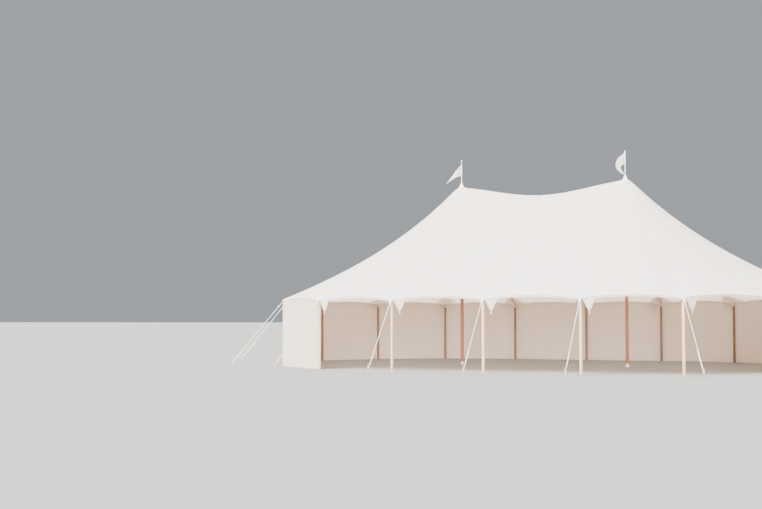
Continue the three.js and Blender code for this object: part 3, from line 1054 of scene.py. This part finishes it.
finishPiece(joinAs("tabTies", [tabTie(k, tieSet) for k in allStations]))
print("ties hung")

# King poles with a steel shoe and head, the ring under the cap, the cap, staff and pennant
kingSet = {
    "radius": 0.058, "headRadius": 0.105, "headDepth": 0.04, "flare": 0.07, "socket": 0.2,
    "pinRadius": 0.024, "shoeRadius": 0.0625, "shoeHeight": 0.11,
    "plateRadius": 0.095, "plateThickness": 0.008,
}


def kingPole(side, x, c):
    node = f"king_pole_{side}"
    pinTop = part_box(node)[1].z
    r, wide, pin, shoeWide = c["radius"], c["headRadius"], c["pinRadius"], c["shoeRadius"]
    top = undersideHeight(x + math.copysign(wide, x), 0) - 0.003
    socket = top - c["socket"]
    brim = top - c["headDepth"]
    steps = [
        (r - 0.004, 0.002), (r, 0.016), (r * 1.004, 1.6), (r, 3.3), (r * 0.985, 5.0),
        (r * 0.965, socket), (r * 0.96, brim),
    ]
    pole = turned(f"kingPole{side.title()}", steps, 32, kingTimber, place=(x, 0))
    finishPiece(pole, node)
    head = turned("head", [
        (r * 1.01, socket), (r * 1.03, socket + 0.004), (r * 1.03, brim - c["flare"]), (wide, brim),
        (wide, top - 0.004), (wide - 0.004, top), (pin, top + 0.001), (pin, pinTop - 0.004),
        (pin - 0.004, pinTop - 0.001),
    ], 32, galvanised, 0.0015, (x, 0))
    shoe = turned("shoe", [
        (c["plateRadius"], 0), (c["plateRadius"], c["plateThickness"]),
        (shoeWide + 0.002, c["plateThickness"] + 0.001), (shoeWide, 0.02),
        (shoeWide, c["shoeHeight"]), (shoeWide - 0.003, c["shoeHeight"] + 0.003),
    ], 32, galvanised, 0.0012, (x, 0))
    reach = tent["ringRadius"]
    bailPlace = (x, 0, clothBottom(x + math.copysign(reach, x), 0) + 0.002)
    bail = ring("bail", reach - 0.002, 0.007, bailPlace, (0, 0, 1), galvanised)
    finishPiece(joinAs(f"kingSteel{side.title()}", [head, shoe, bail]))


staffSet = {"radius": 0.013, "knob": 0.023, "knobRise": 0.04}
capSet = {
    "rim": 0.106, "lip": 0.008, "top": 0.027, "hollow": 0.62,
    "cordRadius": 0.0055, "cordShare": 0.86, "pleat": 0.002, "pleats": 14,
}


# A cone of coated cloth over the ring, tied round its neck
def peakCap(side, x, c):
    node = f"peak_cap_{side}"
    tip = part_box(node)[1].z
    wide = c["rim"]
    rim = clothTop(x + math.copysign(wide, x), 0) + 0.002
    rise = tip - rim
    steps = [(wide, rim), (wide + 0.001, rim + c["lip"] * 0.4), (wide - 0.004, rim + c["lip"])]
    for share in (0.1, 0.2, 0.32, 0.44, 0.56, 0.68, 0.78, c["cordShare"], 0.93, 1):
        steps.append((wide + (c["top"] - wide) * share ** c["hollow"], rim + rise * share))
    steps.append((staffSet["radius"] + 0.002, tip + 0.0015))
    cone = turned("cone", steps, 84, capCloth, place=(x, 0))
    waist = steps[-4][0]
    hem = ring("capHem", wide - 0.002, 0.0035, (x, 0, rim + 0.003), (0, 0, 1), capCloth)
    for v in [*cone.data.vertices, *hem.data.vertices]:
        way = (v.co - Vector((x, 0, v.co.z))).normalized()
        share = ease(rim, tip, v.co.z)
        foot = clothTop(x + way.x * wide, way.y * wide) + 0.002
        v.co.z += (foot - rim) * (1 - share)
        pleat = math.cos(c["pleats"] * math.atan2(way.y, way.x)) * math.sin(math.pi * share)
        v.co += way * c["pleat"] * pleat
    cordPlace = (x, 0, rim + rise * c["cordShare"])
    cord = ring("capCord", waist, c["cordRadius"], cordPlace, (0, 0, 1), whiteRope)
    finishPiece(joinAs(f"peakCap{side.title()}", [cone, cord, hem]), node)


def flagstaff(side, x, c):
    node = f"flagstaff_{side}"
    low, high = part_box(node)
    neck = high.z - c["knobRise"]
    r = c["radius"]
    steps = [
        (r * 0.96, low.z), (r, low.z + 0.02), (r * 0.96, neck - 0.2),
        (r * 0.85, neck - 0.006), (r * 0.8, neck),
        (r * 1.25, neck + 0.003), (r * 1.25, neck + 0.008), (c["knob"] * 0.87, neck + 0.012),
        (c["knob"], neck + 0.019), (c["knob"] * 0.9, neck + 0.028), (c["knob"] * 0.6, neck + 0.036),
        (c["knob"] * 0.15, neck + 0.04),
    ]
    staff = turned(f"flagstaff{side.title()}", steps, 24, staffTimber, place=(x, 0))
    finishPiece(staff, node)


pennantSet = {
    "azimuth": math.radians(203), "hoist": 0.4, "length": 0.75, "tip": 0.014,
    "ripple": 0.034, "fold": 0.006, "thickness": 0.0016, "columns": 48, "rows": 16,
    "left": {
        "below": 0.155, "heading": (30, 46), "bend": (0, 0.5),
        "lean": 0, "leanEnd": 1, "taper": 1.3,
    },
    "right": {
        "below": 0.03, "heading": (34, 134), "bend": (0.13, 0.8),
        "lean": 215, "leanEnd": 1.5, "taper": 1,
    },
}


# A cloth triangle whose midline bends from one heading to another, sleeved over its staff
def pennant(side, x, c):
    shape = c[side]
    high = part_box(f"flagstaff_{side}")[1].z - staffSet["knobRise"] - shape["below"]
    low = high - c["hoist"]
    outward = Vector((math.cos(c["azimuth"]), math.sin(c["azimuth"]), 0))
    across = Vector((-outward.y, outward.x, 0))
    up = Vector((0, 0, 1))
    step = c["length"] / c["columns"]
    spine = Vector((x, 0, (low + high) / 2)) + outward * staffSet["radius"]
    columns = []
    for a in shares(c["columns"]):
        if a:
            level, steep = (math.radians(v) for v in shape["heading"])
            heading = level + (steep - level) * ease(*shape["bend"], a - 0.5 / c["columns"])
            spine += (outward * math.cos(heading) - up * math.sin(heading)) * step
        middle = spine + across * c["ripple"] * math.sin(2 * math.pi * a)
        lean = math.radians(shape["lean"]) * ease(0, shape["leanEnd"], a)
        upEdge = outward * math.sin(lean) + up * math.cos(lean)
        halfWidth = (c["hoist"] * (1 - a) ** shape["taper"] + c["tip"] * a) / 2
        run = c["length"] * a
        column = []
        for share in shares(c["rows"]):
            w = 2 * share - 1
            fold = c["fold"] * math.sin(4 * w + 9 * a) * math.sin(math.pi * min(1, 3 * a))
            place = middle + upEdge * w * halfWidth + across * fold
            column.append((place, 1, min(halfWidth * (1 - abs(w)), run), run + halfWidth * w))
        columns.append(column)
    piece = thicken(clothPiece(f"pennant{side.title()}", [columns], sailcloth), c["thickness"], 0, 60)
    wide = staffSet["radius"] + 0.003
    sleeveSteps = [
        (wide, low), (wide + 0.001, low + 0.01), (wide, (low + high) / 2), (wide + 0.001, high - 0.01),
        (wide, high),
    ]
    sleeve = turned(f"pennantSleeve{side.title()}", sleeveSteps, 20, capCloth, 0.001, (x, 0))
    finishPiece(sleeve)
    finishPiece(piece, f"pennant_{side}")


for side, x in (("left", -half), ("right", half)):
    kingPole(side, x, kingSet)
    peakCap(side, x, capSet)
    flagstaff(side, x, staffSet)
    pennant(side, x, pennantSet)
print("king poles raised")

# Floor and soft light
stageSet = {
    "size": 1600, "floor": (0.20, 0.20, 0.195), "floorPatches": 0.93,
    "sky": (0.40, 0.425, 0.45), "skyStrength": 1,
}


def addStage(c):
    bpy.ops.mesh.primitive_plane_add(size=c["size"], location=(0, 0, 0))
    floor = bpy.context.object
    floor.name = "floor"
    finish = Finish("floorFinish", 0.95)
    darker = [v * c["floorPatches"] for v in c["floor"]]
    finish.colour(finish.mix(finish.noise(finish.place(), 0.25, 3), c["floor"], darker))
    floor.data.materials.append(finish.material)
    world = bpy.data.worlds.new("studio")
    bpy.context.scene.world = world
    world.use_nodes = True
    background = world.node_tree.nodes["Background"]
    background.inputs["Color"].default_value = (*c["sky"], 1)
    background.inputs["Strength"].default_value = c["skyStrength"]


# Where each lamp shines from is given as its azimuth and elevation
lightSet = {
    "keyLight": {"from": (245, 48), "spread": 40, "strength": 20, "tint": (1, 0.97, 0.93)},
    "frontFill": {"from": (292, 7), "spread": 24, "strength": 5.6, "tint": (1, 0.96, 0.92)},
    "topLight": {"from": (90, 66), "spread": 90, "strength": 6.5, "tint": (0.97, 0.985, 1)},
}


def addSoftSun(name, c):
    bpy.ops.object.light_add(type="SUN", location=(0, 0, 20))
    lamp = bpy.context.object
    lamp.name = name
    lamp.data.angle = math.radians(c["spread"])
    lamp.data.energy = c["strength"]
    lamp.data.color = c["tint"]
    a, e = (math.radians(v) for v in c["from"])
    toLight = Vector((math.cos(a) * math.cos(e), math.sin(a) * math.cos(e), math.sin(e)))
    lamp.rotation_euler = toLight.to_track_quat("Z", "Y").to_euler()


addStage(stageSet)
for name, values in lightSet.items():
    addSoftSun(name, values)
print("stage lit")
